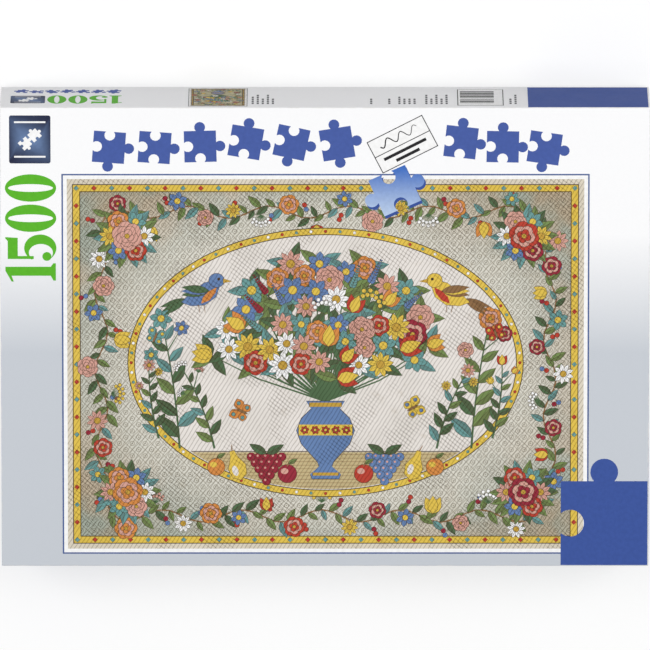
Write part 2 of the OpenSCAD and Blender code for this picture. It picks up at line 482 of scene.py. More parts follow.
def closed_mesh(work, name):
    """The mesh of a closed bmesh, with its faces turned outwards."""
    bmesh.ops.recalc_face_normals(work, faces=work.faces)
    mesh = bpy.data.meshes.new(name)
    work.to_mesh(mesh)
    work.free()
    return mesh


def shade_by_angle(mesh, degrees=35):
    mesh.polygons.foreach_set("use_smooth", [True] * len(mesh.polygons))
    mesh.set_sharp_from_angle(angle=math.radians(degrees))


def turns(polygon):
    """The sides of a polygon, each from one corner to the next."""
    return list(zip(polygon, polygon[1:] + polygon[:1]))


def ring_faces(low, high):
    """Faces between two rings of as many corners."""
    return [(a, b, d, c) for (a, b), (c, d) in zip(turns(low), turns(high))]


def rounded_rectangle(half_x, half_y, radius, steps):
    """Points of a rectangle with round corners, counter-clockwise."""
    points = []
    for corner, (sx, sy) in enumerate(((1, 1), (-1, 1), (-1, -1), (1, -1))):
        for step in range(steps + 1):
            angle = math.radians(90 * (corner + step / steps))
            points.append(at(sx * (half_x - radius), sy * (half_y - radius), angle, radius))
    return points


def loft(name, half_x, half_y, profile, radius, steps=4):
    """Closed mesh through rounded rectangles: profile lists how far each is set in, and its height."""
    least_radius = 0.04 * MM
    work = bmesh.new()
    rings = []
    for inset, height in profile:
        ring = rounded_rectangle(half_x - inset, half_y - inset, max(radius - inset, least_radius), steps)
        rings.append([work.verts.new((x, y, height)) for x, y in ring])
    for low, high in zip(rings, rings[1:]):
        for face in ring_faces(low, high):
            work.faces.new(face)
    work.faces.new(rings[0][::-1])
    work.faces.new(rings[-1])
    return closed_mesh(work, name)


def arc(inset, height, radius, start, end, steps=4):
    """Points of an arc in a loft's profile, between two angles in degrees."""
    angles = (math.radians(start + (end - start) * i / steps) for i in range(steps + 1))
    return [at(inset, height, angle, radius) for angle in angles]


# Box papers

def lid_paper(material):
    """Printed paper over the lid: top, walls, folded rim and the strip turned in."""
    rim, top = LID_LOW.z, LID_TOP - INK_DEPTH
    out, lined = INK_DEPTH, 2 * PAPER + BOARD
    under, turned = LID_TOP - PAPER, rim + TURN_IN
    profile = [(PAPER, under), (PAPER, rim + PAPER), (PAPER + BOARD, rim + PAPER)]
    profile += [(PAPER + BOARD, turned), (lined, turned)]
    profile += arc(lined - RIM_R, rim + RIM_R, RIM_R, 0, -90)
    profile += arc(out + RIM_R, rim + RIM_R, RIM_R, -90, -180)
    profile += arc(out + FOLD_R, top - FOLD_R, FOLD_R, 180, 90)
    mesh = loft("lid_paper", LID_HIGH.x, LID_HIGH.y, profile, FOLD_R)
    shade_by_angle(mesh)
    made = make_object("lid_paper", mesh, [material], "lid")
    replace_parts(made, "lid_wrap")


def base_paper(material):
    """Paper round the base, over its rim and across its underside."""
    rim, lined = BASE_HIGH.z, 2 * PAPER + BOARD
    turned = rim - TURN_IN
    profile = [(PAPER, PAPER), (PAPER, rim - PAPER), (PAPER + BOARD, rim - PAPER)]
    profile += [(PAPER + BOARD, turned), (lined, turned)]
    profile += arc(lined - RIM_R, rim - RIM_R, RIM_R, 0, 90)
    profile += arc(RIM_R, rim - RIM_R, RIM_R, 90, 180)
    profile += arc(FOLD_R, FOLD_R, FOLD_R, 180, 270)
    mesh = loft("base_paper", BASE_HIGH.x, BASE_HIGH.y, profile, FOLD_R)
    shade_by_angle(mesh)
    made = make_object("base_paper", mesh, [material], "base")
    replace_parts(made, "base_wrap", "base_bottom_sheet")


# Flat print: outlines in millimetres, in painting order, each with a colour or None for a cut-out

def counter_clockwise(outline):
    area = sum(x0 * y1 - x1 * y0 for (x0, y0), (x1, y1) in turns(outline))
    return outline if area > 0 else outline[::-1]


def visible_edges(shapes):
    """Points, and the lines between colours as start, end and the colours on their left and right."""
    near, bend = 1e-5, 1e-4
    points, outlines = [], []
    for outline, _ in shapes:
        outlines.append(list(range(len(points), len(points) + len(outline))))
        points += [Vector(point) for point in counter_clockwise(outline)]
    flat, _, triangles, _, _, owners = geometry.delaunay_2d_cdt(points, [], outlines, 1, near)
    left = {}
    for triangle, owner in zip(triangles, owners):
        colour = shapes[max(owner)][1] if owner else None
        if colour is not None:
            left.update((side, colour) for side in turns(triangle))
    beside = {}
    for a, b in left:
        if left.get((b, a)) is not left[a, b]:
            beside.setdefault(a, set()).add(b)
            beside.setdefault(b, set()).add(a)

    def straight(i):
        if len(beside[i]) != 2:
            return False
        before, after = (flat[j] - flat[i] for j in beside[i])
        return abs(before.cross(after)) < bend * (before - after).length and before.dot(after) < 0

    kept = {i: number for number, i in enumerate(i for i in beside if not straight(i))}
    lines = []
    for a in kept:
        for b in beside[a]:
            last, here = a, b
            while here not in kept:
                last, here = here, next(j for j in beside[here] if j != last)
            lines.append((kept[a], kept[here], left.get((a, b)), left.get((b, a))))
    return [flat[i] for i in kept], lines


def paint(points, lines):
    """Triangles between the lines, each with the colour that the lines give it."""
    near = 1e-7
    edges = [(a, b) for a, b, _, _ in lines]
    flat, made, triangles, _, origins, _ = geometry.delaunay_2d_cdt(points, edges, [], 0, near)
    side = {}
    for (a, b), sources in zip(made, origins):
        for source in sources[:1]:
            start, end, left, right = lines[source]
            along = (flat[b] - flat[a]).dot(points[end] - points[start]) > 0
            side[a, b] = left if along else right
            side[b, a] = right if along else left
    across = {edge: i for i, triangle in enumerate(triangles) for edge in turns(triangle)}
    colours = [None] * len(triangles)
    waiting = []
    for i, triangle in enumerate(triangles):
        found = [side[edge] for edge in turns(triangle) if edge in side]
        if found:
            colours[i] = found[0]
            waiting.append(i)
    known = set(waiting)
    while waiting:
        i = waiting.pop()
        for a, b in turns(triangles[i]):
            other = across.get((b, a))
            if (a, b) not in side and other is not None and other not in known:
                colours[other] = colours[i]
                known.add(other)
                waiting.append(other)
    return flat, [pair for pair in zip(triangles, colours) if pair[1] is not None]


def ink_layer(shapes):
    """Corners as x, y and 1 above or 0 below, and faces with the colours of their corners."""
    def spot(point):
        return round(point.x, 5), round(point.y, 5)

    points, lines = visible_edges(shapes)
    flat, painted = paint(points, lines)
    rims = [(a, b, left and WHITE, right and WHITE) for a, b, left, right in lines if not (left and right)]
    low_flat, low_painted = paint(points, rims)
    corners = [(p.x, p.y, 1) for p in flat] + [(p.x, p.y, 0) for p in low_flat]
    faces, edges = [], {}
    for triangle, colour in painted:
        tints = [colour(*flat[i]) if callable(colour) else colour for i in triangle]
        faces.append((triangle, tints))
        edges.update((edge, tints[0]) for edge in turns(triangle))
    below = {spot(p): len(flat) + i for i, p in enumerate(low_flat)}
    for triangle, _ in low_painted:
        faces.append(([len(flat) + i for i in reversed(triangle)], [faces[0][1][0]] * 3))
    for (a, b), tint in edges.items():
        if (b, a) not in edges:
            foot = [below.get(spot(flat[i])) for i in (a, b)]
            if None not in foot:
                faces.append(([a, foot[0], foot[1], b], [tint] * 4))
    return corners, faces


def texture_places(corners, faces):
    """Places on the texture map: the printed side over nearly all of it, the hidden side below."""
    hidden, gap = 0.02, 0.01
    xs, ys = [corner[0] for corner in corners], [corner[1] for corner in corners]
    min_x, min_y = min(xs), min(ys)
    wide, tall = max(xs) - min_x, max(ys) - min_y
    places = []
    for face, _ in faces:
        shown = any(corners[i][2] for i in face)
        foot, share = (hidden + gap, 1 - hidden - gap) if shown else (0, hidden)
        for i in face:
            places += [(corners[i][0] - min_x) / wide, foot + share * (corners[i][1] - min_y) / tall]
    return places


def lay_ink(name, layer, to_frame, material, whole=False):
    """Mesh of a layer of ink, placed in the frame, with a texture map where it fills a rectangle."""
    corners, faces = layer
    mesh = bpy.data.meshes.new(name)
    places = [to_frame(x, y, INK_DEPTH * height) for x, y, height in corners]
    mesh.from_pydata(places, [], [face for face, _ in faces])
    ink = mesh.color_attributes.new(INK, "FLOAT_COLOR", "CORNER")
    ink.data.foreach_set("color", [level for _, tints in faces for tint in tints for level in tint])
    if whole:
        mesh.uv_layers.new(name=EXPORT_MAP).uv.foreach_set("vector", texture_places(corners, faces))
    work = bmesh.new()
    work.from_mesh(mesh)
    unused = [vert for vert in work.verts if not vert.link_faces]
    bmesh.ops.delete(work, geom=unused, context="VERTS")
    work.to_mesh(mesh)
    work.free()
    make_object(name, mesh, [material], "lid")


def flat_print(name, shapes, to_frame, material, whole=False):
    """Thin closed layer of ink in which each spot has the colour of the last shape over it."""
    lay_ink(name, ink_layer(shapes), to_frame, material, whole)


# Outlines

def at(x, y, turn, reach):
    """The point at a distance from x, y in the direction turn."""
    return (x + reach * math.cos(turn), y + reach * math.sin(turn))


def moved(outline, x, y, turn=0.0, scale=1.0):
    cosine, sine = scale * math.cos(turn), scale * math.sin(turn)
    return [(x + u * cosine - v * sine, y + u * sine + v * cosine) for u, v in outline]


def placed(shapes, x, y, turn=0.0, scale=1.0):
    return [(moved(outline, x, y, turn, scale), colour) for outline, colour in shapes]


def rectangle(x0, y0, x1, y1):
    return [(x0, y0), (x1, y0), (x1, y1), (x0, y1)]


def centred(width, height, inset=0.0):
    """A rectangle round the origin, set in on every side."""
    half_x, half_y = width / 2 - inset, height / 2 - inset
    return rectangle(-half_x, -half_y, half_x, half_y)


def ellipse(x, y, radius_x, radius_y, sides=40):
    angles = [2 * math.pi * i / sides for i in range(sides)]
    return [(x + radius_x * math.cos(angle), y + radius_y * math.sin(angle)) for angle in angles]


def petal_outline(length, width, steps=4, swell=0.8):
    """A petal or leaf from the origin along +X; its right side comes first."""
    side = []
    for i in range(1, steps):
        side.append((length * i / steps, width / 2 * math.sin(math.pi * (i / steps) ** swell)))
    return [(0, 0)] + [(u, -v) for u, v in side] + [(length, 0)] + side[::-1]


def jigsaw_outline(length, width, sides, knob_r, reach, steps=10):
    """Outline of a piece with its middle at the origin; sides run from +X round to -Y."""
    half_neck = math.sqrt(knob_r ** 2 - reach ** 2)
    away = math.atan2(half_neck, -reach)
    swing = [-away + 2 * away * i / steps for i in range(steps + 1)]
    outline = []
    for side, knob in enumerate(sides):
        along, across = (width, length) if side % 2 == 0 else (length, width)
        edge = [(across / 2, -along / 2)]
        if knob:
            edge += [(across / 2 + knob * (reach + knob_r * math.cos(a)), knob_r * math.sin(a))
                     for a in swing]
        outline += moved(edge, 0, 0, side * math.pi / 2)
    return outline


# Digits drawn from ellipses and bars, in units of a digit 51 high

DIGIT_H = 51.0
NUMBER_W = 110.0


def digit_zero(u, ink):
    return [(ellipse(u + 14, 25.5, 14, 25.5, 56), ink), (ellipse(u + 14, 25.5, 4.0, 22.4, 48), None)]


def digit_one(u, ink):
    stem = [(6, 3), (15.2, 3), (15.2, 50.8), (11, 50.8), (0, 44.6), (0, 42.6), (6, 44.8)]
    foot = [(1, 0.6), (18.8, 0.6), (18.8, 3.0), (15.2, 5.6), (6, 5.6), (1, 3.0)]
    return [(moved(stem, u, 0), ink), (moved(foot, u, 0), ink)]


def digit_five(u, ink):
    bar = [(2.2, 38.5), (23.9, 38.5), (24.6, 51), (23.5, 51), (20.5, 48.4), (2.2, 48.4)]
    return [(ellipse(u + 13.4, 16, 13.9, 16, 56), ink),
            (ellipse(u + 8.6, 15.4, 9.0, 12.0, 48), None),
            (rectangle(u - 1, 9.2, u + 6.6, 24.0), None),
            (ellipse(u + 4.8, 9.4, 4.5, 4.5, 28), ink),
            (rectangle(u + 2.2, 22.6, u + 5.2, 40), ink),
            (moved(bar, u, 0), ink)]


def number_shapes(ink):
    """The piece count, with its foot at the origin."""
    return digit_one(0, ink) + digit_five(21, ink) + digit_zero(51, ink) + digit_zero(82, ink)


def badge_shapes(x, y, width, height):
    """Dark badge with a light band across it and a tilted pair of plain puzzle pieces."""
    def tint(px, py):
        band = math.exp(-((py - y + 0.35 * (px - x)) / (0.26 * height)) ** 2)
        return blend(NAVY, SLATE, 0.06 + 0.94 * band)

    card = rounded_rectangle(width / 2, height / 2, 0.05 * width, 5)
    shapes = [(moved(card, x, y), tint)]
    bands, reach = 12, 0.46 * width
    for i in range(1, bands):
        level = y + height * (i / bands - 0.5)
        shapes.append((rectangle(x - reach, level, x + reach, level + height / bands), tint))
    size, turn = 0.25 * width, 0.72
    for shift, sides in ((-0.62, (1, -1, -1, 1)), (0.62, (1, 1, 1, -1))):
        piece = jigsaw_outline(size, size, sides, 0.16 * size, 0.1 * size)
        shapes.append((moved(piece, *at(x, y, turn, shift * size), turn), WHITE))
    half_line, reach = 0.018 * height, 0.38 * width
    for level in (y - 0.36 * height, y + 0.36 * height):
        shapes.append((rectangle(x - reach, level - half_line, x + reach, level + half_line), WHITE))
    return shapes


# Picture: an old botanical plate of the builder's own, drawn from leaves, petals and stems

DAISY, ROUND, TULIP, STAR, UMBEL, SPIKE = range(6)
RULE = 0.5


def even_points(ring, step):
    """Points every step along a closed ring, with the way that it runs there."""
    points, over = [], 0.0
    for (x0, y0), (x1, y1) in turns(ring):
        span = math.hypot(x1 - x0, y1 - y0)
        way = math.atan2(y1 - y0, x1 - x0)
        while over < span:
            points.append((*at(x0, y0, way, over), way))
            over += step
        over -= span
    return points


class Plate:
    """Shapes of a plate in painting order, and the random draws that vary them."""

    def __init__(self, seed, line=0.26, fine=True):
        self.shapes = []
        self.line = line
        self.fine = fine
        self.draw = random.Random(seed)

    def fill(self, outline, colour):
        self.shapes.append((outline, colour))

    def inked(self, outline, colour, line=None):
        """A shape with a dark line round it."""
        line = line or self.line
        x = sum(p[0] for p in outline) / len(outline)
        y = sum(p[1] for p in outline) / len(outline)
        grown = []
        for px, py in outline:
            away = math.hypot(px - x, py - y) or 1.0
            grown.append((px + (px - x) * line / away, py + (py - y) * line / away))
        self.fill(grown, ETCH)
        self.fill(outline, colour)

    def stroke(self, path, width, colour):
        """A line along a path, tapering to half its width."""
        left, right = [], []
        for i, (x, y) in enumerate(path):
            before, after = path[max(i - 1, 0)], path[min(i + 1, len(path) - 1)]
            away = math.atan2(after[1] - before[1], after[0] - before[0]) + math.pi / 2
            half = width / 2 * (1 - 0.5 * i / (len(path) - 1))
            left.append(at(x, y, away, half))
            right.append(at(x, y, away, -half))
        self.fill(left + right[::-1], colour)

    def petal(self, x, y, turn, length, width, colour, steps=4, swell=0.8):
        self.inked(moved(petal_outline(length, width, steps, swell), x, y, turn), colour)

    def leaf(self, x, y, turn, length, colour):
        """A leaf that starts at x, y, with a dark half and a rib where the plate is fine."""
        width, steps = 0.42 * length, 4
        self.petal(x, y, turn, length, width, colour, steps)
        if self.fine:
            dark_half = petal_outline(length, width, steps)[:steps + 1]
            self.fill(moved(dark_half, x, y, turn), blend(colour, ETCH, 0.32))
            self.stroke([(x, y), at(x, y, turn, 0.86 * length)], 0.32, ETCH)

    def dot(self, x, y, radius, colour, sides=10, line=None):
        self.inked(ellipse(x, y, radius, radius, sides), colour, line)

    def daisy(self, x, y, radius, colour, heart, petals=9):
        start = self.draw.uniform(0, math.pi)
        width = 1.15 * math.pi * radius / petals
        for i in range(petals):
            turn = start + 2 * math.pi * i / petals
            self.petal(x, y, turn, radius, width, colour, 4, 1.25)
            if self.fine:
                vein = [at(x, y, turn, share * radius) for share in (0.2, 0.8)]
                self.stroke(vein, 0.4, blend(colour, ETCH, 0.5))
        self.dot(x, y, 0.30 * radius, heart)

    def rose(self, x, y, radius, colour, pale):
        start = self.draw.uniform(0, math.pi)
        for ring, (share, count) in enumerate(((1.0, 6), (0.72, 5), (0.46, 4))):
            tint = colour if ring % 2 == 0 else pale
            reach = 0.52 * share * radius
            for i in range(count):
                turn = start + 0.5 * ring + 2 * math.pi * i / count
                self.dot(*at(x, y, turn, reach), reach, tint, 9)
        self.dot(x, y, 0.16 * radius, GOLD, 8)

    def tulip(self, x, y, turn, length, colour, pale):
        for swing, tint in ((0.42, colour), (-0.42, colour), (0.0, pale)):
            self.petal(x, y, turn + swing, length, 0.55 * length, tint, 4, 0.75)

    def umbel(self, x, y, turn, length, colour):
        for i in range(11):
            tip = at(x, y, turn + (i - 5) * 0.2, length * (1.0 if i % 2 else 0.72))
            self.stroke([(x, y), tip], 0.4, DARK_GREEN)
            self.dot(*tip, 0.13 * length, colour, 7)

    def spike(self, x, y, turn, length, colour):
        for i in range(9):
            foot = at(x, y, turn, length * (0.12 + 0.88 * i / 8))
            size = 0.2 * length * (1.05 - 0.75 * i / 8)
            for side in (-1, 1):
                self.petal(*foot, turn + side * 0.75, size, 0.55 * size, colour, 3)

    def bloom(self, kind, x, y, turn, size):
        if kind == DAISY:
            self.daisy(x, y, size, self.draw.choice((YELLOW, WHITE, ROSE)), GOLD)
        elif kind == ROUND:
            self.rose(x, y, size, self.draw.choice((RED, CRIMSON, ROSE, ORANGE)), ROSE)
        elif kind == TULIP:
            self.tulip(x, y, turn, 1.7 * size, self.draw.choice((RED, YELLOW, ORANGE)), YELLOW)
        elif kind == STAR:
            self.daisy(x, y, size, self.draw.choice((SKY_BLUE, TEAL)), YELLOW, 6)
        elif kind == UMBEL:
            self.umbel(x, y, turn, 1.2 * size, self.draw.choice((YELLOW, ROSE, WHITE)))
        else:
            self.spike(x, y, turn, 2.2 * size, self.draw.choice((SKY_BLUE, CRIMSON, TEAL)))

    def sprig(self, x, y, turn, length, bend, kind, size):
        """A stem with leaves on both sides and a flower at its tip and on two stalks."""
        steps = 12
        path, heading = [(x, y)], turn
        for _ in range(steps):
            heading += bend / steps
            path.append(at(*path[-1], heading, length / steps))
        self.stroke(path, 1.3, DARK_GREEN)
        stalks = {7: 1, 9: -1}
        for i in range(1, steps - 1):
            side = 1 if i % 2 else -1
            way = turn + bend * i / steps
            tint = self.draw.choice(LEAF_TINTS)
            if i in stalks:
                out = way + stalks[i] * 0.7
                tip = at(*path[i], out, 0.2 * length)
                self.stroke([path[i], tip], 0.8, DARK_GREEN)
                self.bloom(kind, *tip, out, 0.7 * size)
            way += side * self.draw.uniform(0.6, 0.95)
            self.leaf(*path[i], way, length * (0.24 - 0.011 * i), tint)
        self.bloom(kind, *path[-1], heading, size)

    def apple(self, x, y, radius, colour, shine):
        self.dot(x, y, radius, colour, 18)
        self.fill(ellipse(x - 0.3 * radius, y + 0.28 * radius, 0.42 * radius, 0.34 * radius, 10), shine)
        self.stroke([(x, y + 0.8 * radius), (x + 0.15 * radius, y + 1.35 * radius)], 0.7, BROWN)
        self.leaf(x + 0.1 * radius, y + 1.1 * radius, 0.5, 1.1 * radius, LEAF_GREEN)

    def pear(self, x, y, size, turn, colour, shine):
        right = [(0.0, -0.50), (0.26, -0.34), (0.32, 0.0), (0.13, 0.38), (0.08, 0.62)]
        left = [(-u, v) for u, v in right[:0:-1]]
        self.inked(moved(right + left, x, y, turn, size), colour)
        self.fill(moved(ellipse(-0.1, -0.12, 0.11, 0.2, 10), x, y, turn, size), shine)
        self.stroke(moved([(0, 0.6), (0.06, 0.85)], x, y, turn, size), 0.8, BROWN)

    def grapes(self, x, y, size, colour, shine):
        rows, spot = 5, 0.16 * size
        for row in range(rows):
            for i in range(rows - row):
                gx, gy = x + (i - (rows - 1 - row) / 2) * size, y - row * 0.82 * size
                self.dot(gx, gy, 0.56 * size, colour, 10)
                self.fill(ellipse(gx - spot, gy + spot, spot, spot, 6), shine)
        for swing in (0.5, 2.6):
            self.leaf(x, y + 0.4 * size, swing, 2.6 * size, DARK_GREEN)

    def bird(self, x, y, size, flip, colour, wing, breast):
        """A small perched bird that looks to the right, or to the left where flip is -1."""
        def local(outline):
            return [(x + flip * size * u, y + size * v) for u, v in outline]

        def feather(u, v, turn, width, tint):
            self.inked(local(moved(petal_outline(0.62, width, 5), u, v, turn)), tint)

        for turn in (3.45, 3.62, 3.79):
            feather(-0.30, -0.12, turn, 0.13, wing)
        body = [(-0.42, -0.20), (-0.20, -0.28), (0.10, -0.26), (0.34, -0.08), (0.42, 0.14),
                (0.30, 0.30), (0.08, 0.24), (-0.20, 0.02)]
        chest = [(0.02, -0.23), (0.20, -0.16), (0.34, 0.02), (0.36, 0.14), (0.20, 0.06), (0.06, -0.08)]
        self.inked(local(body), colour)
        self.fill(local(chest), breast)
        self.inked(local(ellipse(0.36, 0.30, 0.17, 0.16, 14)), colour)
        self.inked(local([(0.51, 0.34), (0.70, 0.28), (0.51, 0.24)]), GOLD)
        self.fill(local(ellipse(0.41, 0.33, 0.035, 0.035, 8)), ETCH)
        for turn, tint in ((3.3, wing), (3.15, colour), (3.0, wing)):
            feather(0.20, 0.06, turn, 0.17, tint)
        for u in (-0.04, 0.08):
            self.stroke(local([(u, -0.26), (u + 0.03, -0.44)]), 0.5, BROWN)

    def butterfly(self, x, y, turn, size, colour, spot):
        fore, hind = 0.75, 2.05
        for side in (-1, 1):
            self.petal(x, y, turn + side * fore, size, 0.72 * size, colour, 5, 1.3)
            self.petal(x, y, turn + side * hind, 0.72 * size, 0.6 * size, colour, 5, 1.3)
            for swing, share in ((fore, 0.66), (hind, 0.46)):
                self.dot(*at(x, y, turn + side * swing, share * size), 0.13 * size, spot, 8)
            self.stroke([(x, y), at(x, y, turn + side * 0.3, 0.8 * size)], 0.4, ETCH)
        self.inked(moved(ellipse(0, 0, 0.42 * size, 0.09 * size, 10), x, y, turn), BROWN)

    def border(self, width, height, margin, band):
        """Paper margin, ruled band with a row of lozenges, and the field inside it."""
        boxes = ((0.0, PLATE_PAPER), (margin, ETCH), (margin + RULE, YELLOW), (margin + band, ETCH),
                 (margin + band + RULE, PLATE_FIELD))
        for inset, colour in boxes:
            self.fill(centred(width, height, inset), colour)
        middle = margin + (RULE + band) / 2
        half_x, half_y = width / 2 - middle, height / 2 - middle
        for half, other, upright in ((half_x, half_y, False), (half_y, half_x, True)):
            count = max(int(2 * half / (2.4 * band)), 2)
            for i in range(count + 1):
                along = half * (2 * i / count - 1)
                for side in (-other, other):
                    x, y = (side, along) if upright else (along, side)
                    self.dot(x, y, 0.34 * band, (TEAL, RED)[i % 2], 4, 0.2)

    def oval(self, x, y, radius_x, radius_y, band):
        """An oval frame with a row of dots round it, and the field inside it."""
        for inset, colour in ((0, ETCH), (RULE, YELLOW), (band - RULE, ETCH), (band, PLATE_INSIDE)):
            self.fill(ellipse(x, y, radius_x - inset, radius_y - inset, 96), colour)
        places = ellipse(x, y, radius_x - band / 2, radius_y - band / 2, 84)
        for i, place in enumerate(places):
            self.dot(*place, 0.2 * band, (RED, WHITE, TEAL)[i % 3], 6, 0.15)

    def bunch(self, x, y, size, kinds):
        """A round bunch of flowers on a bed of leaves."""
        leaves = 14
        for i in range(leaves):
            turn = 2 * math.pi * i / leaves + self.draw.uniform(-0.1, 0.1)
            tint = self.draw.choice(LEAF_TINTS)
            self.leaf(*at(x, y, turn, 0.8 * size), turn, 1.5 * size, tint)
        for i, kind in enumerate(kinds):
            turn = 2 * math.pi * i / len(kinds)
            self.bloom(kind, *at(x, y, turn, 1.15 * size), turn, 0.72 * size)
        self.bloom(ROUND, x, y, 0.0, size)

    def garland(self, width, height, inset, leaf_size, flower_size):
        """Leaves and flowers along a vine round the inside of the border."""
        ring = rounded_rectangle(width / 2 - inset, height / 2 - inset, 2.2 * leaf_size, 6)
        vine = []
        for i, (x, y, way) in enumerate(even_points(ring, 0.5 * leaf_size)):
            sway = 0.45 * leaf_size * math.sin(i * 0.55)
            vine.append((x - sway * math.sin(way), y + sway * math.cos(way), way))
        for (x0, y0, _), (x1, y1, _) in turns(vine):
            self.stroke([(x0, y0), (x1, y1)], 0.16 * leaf_size, BROWN)
        for i, (x, y, way) in enumerate(vine):
            side = 1 if i % 2 else -1
            tint = self.draw.choice(LEAF_TINTS + (LEAF_GREEN,))
            turn = way + side * self.draw.uniform(0.5, 1.25)
            self.leaf(x, y, turn, leaf_size * self.draw.uniform(0.8, 1.3), tint)
            if i % 5 == 2:
                for reach in (0.7, 1.05):
                    berry = at(x, y, way - side * 1.2, reach * leaf_size)
                    self.dot(*berry, 0.17 * leaf_size, self.draw.choice((RED, CRIMSON, SKY_BLUE)), 8)
        kinds = (DAISY, ROUND, STAR, TULIP, ROUND, UMBEL)
        for number, (x, y, way) in enumerate(vine[::4]):
            out = way + (1 if number % 2 else -1) * math.pi / 2
            size = flower_size * self.draw.uniform(0.8, 1.15)
            self.bloom(kinds[number % len(kinds)], *at(x, y, out, 0.55 * leaf_size), out, size)

    def vase(self, x, y, height):
        """A footed vase that stands at x, y."""
        half = [(0.17, 0.0), (0.19, 0.06), (0.08, 0.16), (0.10, 0.22), (0.30, 0.45), (0.36, 0.62),
                (0.30, 0.78), (0.18, 0.90), (0.24, 1.0)]
        outline = half + [(-u, v) for u, v in half[::-1]]
        self.inked(moved(outline, x, y, 0.0, height), SKY_BLUE, 0.4)
        bands = ((0.56, 0.70, 0.335, YELLOW), (0.93, 0.985, 0.2, GOLD), (0.04, 0.08, 0.16, GOLD))
        for low, high, share, colour in bands:
            self.inked(moved(rectangle(-share, low, share, high), x, y, 0.0, height), colour)
        for i in range(5):
            self.daisy(x + (i - 2) * 0.13 * height, y + 0.63 * height, 0.055 * height, RED, YELLOW, 6)

    def bouquet(self, x, y, reach_x, reach_y, count, size):
        """Flowers fanned out of a vase's mouth at x, y."""
        golden = 0.618034
        heads = []
        for i in range(count):
            turn = math.pi * (0.06 + 0.88 * ((i * golden) % 1.0))
            share = math.sqrt((i + 0.6) / count)
            rise = 0.16 * reach_y + share * reach_y * math.sin(turn)
            heads.append((x + share * reach_x * math.cos(turn), y + rise, turn))
        for hx, hy, _ in heads:
            self.stroke([(x, y), (0.4 * x + 0.6 * hx, 0.5 * (y + hy)), (hx, hy)], 1.1, DARK_GREEN)
        for hx, hy, turn in heads[::-1]:
            for swing in (-0.9, 0.9, 2.6):
                tint = self.draw.choice(LEAF_TINTS)
                self.leaf(hx, hy, turn + swing + self.draw.uniform(-0.3, 0.3), 1.9 * size, tint)
        kinds = (ROUND, ROUND, ROUND, DAISY, DAISY, STAR, STAR, TULIP, TULIP, UMBEL, SPIKE)
        for hx, hy, turn in heads[::-1]:
            kind = self.draw.choice(kinds)
            self.bloom(kind, hx, hy, turn, size * self.draw.uniform(0.8, 1.2))


def table_shapes(plate, level, y, radius_x, radius_y):
    """A table across the foot of an oval, with lines of grain."""
    edge = [point for point in ellipse(0, y, radius_x - 0.4, radius_y - 0.4, 120) if point[1] < level]
    plate.fill(edge, TABLE)
    plate.fill(rectangle(edge[0][0], level, edge[-1][0], level + RULE), ETCH)
    for i in range(10):
        low = level - 1.8 - 2.1 * i
        reach = (radius_x - 3) * math.sqrt(max(1 - ((low - y) / (radius_y - 1)) ** 2, 0.0))
        plate.fill(rectangle(-reach, low, reach, low + 0.24), BROWN)


def picture_shapes():
    """The large picture on the lid's face: a vase of flowers in an oval, with a garland round it."""
    oval_y, oval_rx, oval_ry, band = 1.0, 114.0, 80.0, 4.4
    table, foot, vase_h = -52.0, -68.0, 46
    plate = Plate(11)
    plate.border(*PICTURE_SIZE, 3.0, 4.2)
    plate.garland(*PICTURE_SIZE, 19.5, 8.0, 5.6)
    for sx in (-1, 1):
        for sy in (-1, 1):
            plate.bunch(sx * 114, sy * 76, 8.6, (DAISY, STAR, ROUND) * 2)
    plate.oval(0, oval_y, oval_rx, oval_ry, band)
    table_shapes(plate, table, oval_y, oval_rx - band, oval_ry - band)
    # Each sprig's foot, direction, length, bend and kind of flower
    sprigs = ((-84, -50, 1.62, 78, 0.16, STAR), (84, -50, 1.52, 78, -0.16, ROUND),
              (-96, -44, 1.86, 44, -0.3, DAISY), (96, -44, 1.28, 44, 0.3, TULIP),
              (-64, -50, 1.75, 50, 0.35, UMBEL), (64, -50, 1.39, 50, -0.35, DAISY))
    for x, y, turn, length, bend, kind in sprigs:
        plate.sprig(x, y, turn, length, bend, kind, 0.085 * length)
    plate.bouquet(0, foot + vase_h, 68, 74, 58, 7.4)
    plate.vase(0, foot, vase_h)
    # Fruit on the table at both sides of the vase
    for side, grape, apple in ((-1, CRIMSON, CRIMSON), (1, SKY_BLUE, RED)):
        plate.grapes(side * 34, foot + 13, 4.4, grape, ROSE)
        plate.pear(side * 51, foot + 7, 16, -side * 0.3, YELLOW, PLATE_INSIDE)
        plate.apple(side * 22, foot + 3, 5.4, apple, ROSE)
        plate.apple(side * 63, foot + 7, 5.0, ORANGE, YELLOW)
    plate.bird(-72, 42, 26, 1, SKY_BLUE, DARK_GREEN, ORANGE)
    plate.bird(72, 42, 26, -1, YELLOW, BROWN, RED)
    # Each butterfly's place, direction, size and colours
    butterflies = ((-48, -28, 2.7, 8, ORANGE, TEAL), (50, -26, 0.5, 8, YELLOW, SKY_BLUE),
                   (-98, 16, 1.2, 7, TEAL, YELLOW), (98, 18, 1.9, 7, RED, YELLOW))
    for butterfly in butterflies:
        plate.butterfly(*butterfly)
    return plate.shapes


def thumbnail_shapes(width, height):
    """The small upright plate on a side of the lid."""
    margin, band = 0.5, 0.9
    plate = Plate(5, 0.12, False)
    plate.border(width, height, margin, band)
    plate.fill(centred(width, height, margin + band + RULE), SMALL_FIELD)
    plate.bouquet(0, -0.16 * height, 0.30 * width, 0.42 * height, 22, 0.055 * width)
    plate.vase(0, -0.42 * height, 0.26 * height)
    plate.garland(width, height, 4.2, 2.0, 1.5)
    return plate.shapes


# Print on the lid

def on_face(x, y, height):
    return (x * MM, y * MM, LID_TOP - INK_DEPTH + height)


